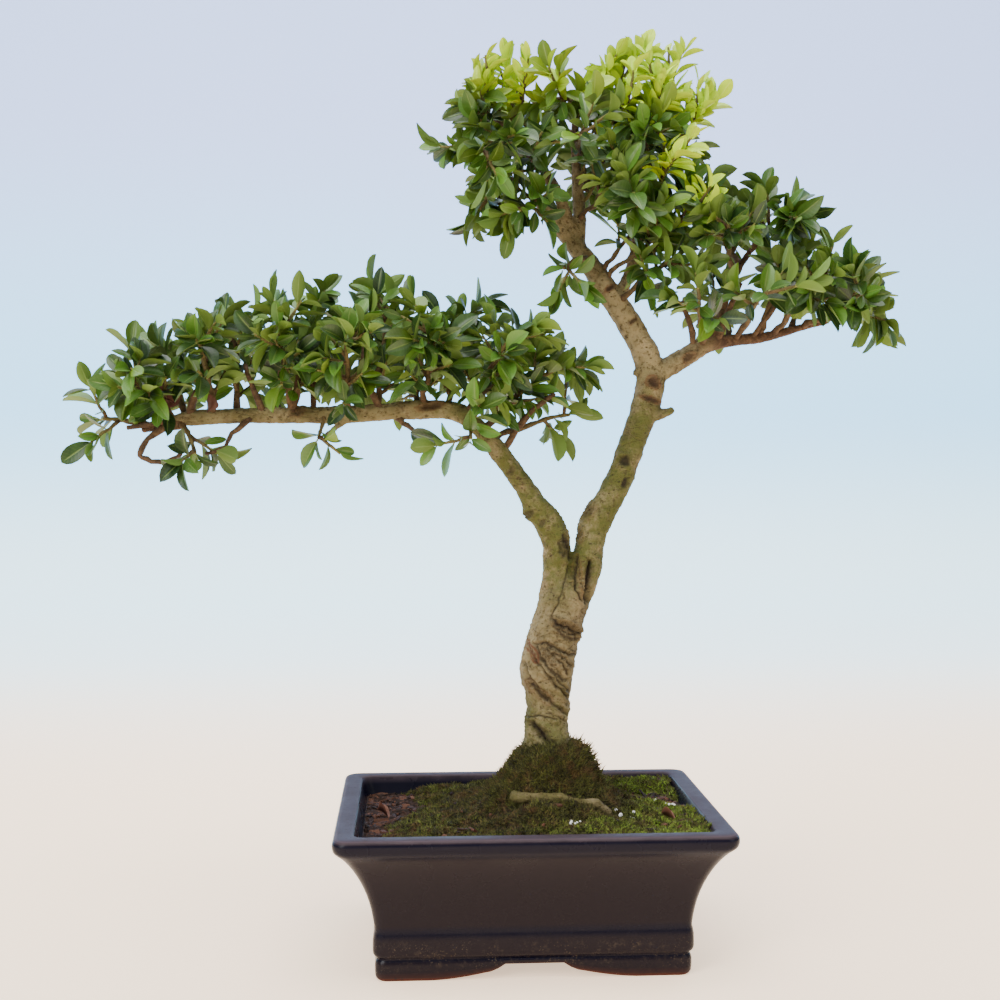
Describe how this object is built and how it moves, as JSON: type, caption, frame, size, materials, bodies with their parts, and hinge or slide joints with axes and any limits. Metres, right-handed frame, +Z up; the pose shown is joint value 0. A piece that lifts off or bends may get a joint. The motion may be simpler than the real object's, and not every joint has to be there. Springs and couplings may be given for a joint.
{
  "type": "japanese holly bonsai",
  "caption": "Forked japanese holly bonsai with flat pads of small oval leaves, rooted in mossy soil in a rectangular glazed pot with a flared rim and cut feet.",
  "frame": {"origin": "on the surface the feet rest on, under the middle of the whole object's box", "axes": "+Z up the tree, +X along the pot's long side towards the right pad, the front of the tree faces -Y"},
  "size_m": [0.3994, 0.14, 0.4405],
  "materials": {
    "glaze": "glossy dark navy glaze, brown where it runs thin",
    "screen": "dull dark plastic",
    "soil": "loose red-brown peat and bark chips",
    "moss": "matt green tufts",
    "bark": "pale grey bark with green algae",
    "leaf": "glossy dark green leaves",
    "new_leaf": "soft lime green leaves"
  },
  "bodies": {
    "root": {"crown_spray_01": "leaf", "crown_spray_02": "leaf", "crown_spray_03": "leaf", "crown_spray_04": "leaf", "crown_spray_05": "leaf", "crown_spray_06": "leaf", "crown_spray_07": "leaf", "crown_spray_08": "leaf", "crown_spray_09": "leaf", "crown_spray_10": "leaf", "crown_spray_11": "leaf", "crown_spray_12": "leaf", "crown_spray_13": "leaf", "crown_spray_14": "leaf", "crown_spray_15": "leaf", "drain_screen_left": "screen", "drain_screen_right": "screen", "left_pad_spray_01": "leaf", "left_pad_spray_02": "leaf", "left_pad_spray_03": "leaf", "left_pad_spray_04": "leaf", "left_pad_spray_05": "leaf", "left_pad_spray_06": "leaf", "left_pad_spray_07": "leaf", "left_pad_spray_08": "leaf", "left_pad_spray_09": "leaf", "left_pad_spray_10": "leaf", "left_pad_spray_11": "leaf", "left_pad_spray_12": "leaf", "left_pad_spray_13": "leaf", "left_pad_spray_14": "leaf", "left_pad_spray_15": "leaf", "left_pad_spray_16": "leaf", "left_pad_spray_17": "leaf", "left_pad_spray_18": "leaf", "left_pad_spray_19": "leaf", "left_pad_spray_20": "leaf", "moss": "moss", "new_shoot_1": "new_leaf", "new_shoot_2": "new_leaf", "new_shoot_3": "new_leaf", "new_shoot_4": "new_leaf", "new_shoot_5": "new_leaf", "new_shoot_6": "new_leaf", "new_shoot_7": "new_leaf", "pot": "glaze", "right_pad_spray_01": "leaf", "right_pad_spray_02": "leaf", "right_pad_spray_03": "leaf", "right_pad_spray_04": "leaf", "right_pad_spray_05": "leaf", "right_pad_spray_06": "leaf", "right_pad_spray_07": "leaf", "right_pad_spray_08": "leaf", "right_pad_spray_09": "leaf", "right_pad_spray_10": "leaf", "right_pad_spray_11": "leaf", "right_pad_spray_12": "leaf", "soil": "soil", "trunk": "bark"}
  },
  "joints": []
}
